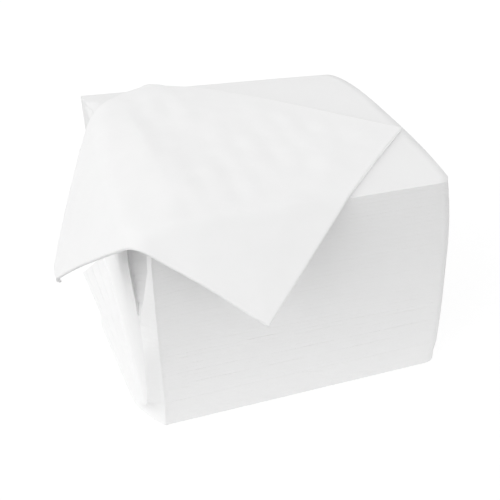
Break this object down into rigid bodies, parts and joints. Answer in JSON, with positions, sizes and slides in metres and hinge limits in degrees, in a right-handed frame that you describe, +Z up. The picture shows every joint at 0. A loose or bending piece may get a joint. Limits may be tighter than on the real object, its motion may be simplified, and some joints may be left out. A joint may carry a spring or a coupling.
{
  "type": "stack of paper napkins",
  "caption": "Square stack of folded white paper napkins, with one more laid cornerwise on top so that two of its corners hang over the front and the left side.",
  "frame": {"origin": "middle of the stack's base, on the surface it stands on", "axes": "+Z up through the stack, +X to the right as seen from the front, +Y to the back; the closed corner of the napkins is at -X and -Y"},
  "size_m": [0.2061, 0.2216, 0.1295],
  "materials": {
    "stacked_paper": "matt soft white tissue paper",
    "draped_paper": "matt soft white tissue paper, lightly creased"
  },
  "bodies": {
    "root": {"napkin_01": "stacked_paper", "napkin_02": "stacked_paper", "napkin_03": "stacked_paper", "napkin_04": "stacked_paper", "napkin_05": "stacked_paper", "napkin_06": "stacked_paper", "napkin_07": "stacked_paper", "napkin_08": "stacked_paper", "napkin_09": "stacked_paper", "napkin_10": "stacked_paper", "napkin_11": "stacked_paper", "napkin_12": "stacked_paper", "napkin_13": "stacked_paper", "napkin_14": "stacked_paper", "napkin_15": "stacked_paper", "napkin_16": "stacked_paper", "napkin_17": "stacked_paper", "napkin_18": "stacked_paper", "napkin_19": "stacked_paper", "napkin_20": "stacked_paper", "napkin_21": "stacked_paper", "napkin_22": "stacked_paper", "napkin_23": "stacked_paper", "napkin_24": "stacked_paper", "napkin_25": "stacked_paper", "napkin_26": "stacked_paper", "napkin_27": "stacked_paper", "napkin_28": "stacked_paper", "napkin_29": "stacked_paper", "napkin_30": "stacked_paper", "napkin_31": "stacked_paper", "napkin_32": "stacked_paper", "napkin_33": "stacked_paper", "napkin_34": "stacked_paper", "napkin_35": "stacked_paper", "napkin_36": "stacked_paper", "napkin_37": "stacked_paper", "napkin_38": "stacked_paper", "napkin_39": "stacked_paper", "napkin_40": "stacked_paper", "napkin_41": "stacked_paper", "napkin_42": "stacked_paper", "napkin_43": "stacked_paper", "napkin_44": "stacked_paper", "napkin_45": "stacked_paper", "napkin_46": "stacked_paper", "napkin_47": "stacked_paper", "napkin_48": "stacked_paper", "napkin_49": "stacked_paper", "draped_napkin": "draped_paper"}
  },
  "joints": []
}
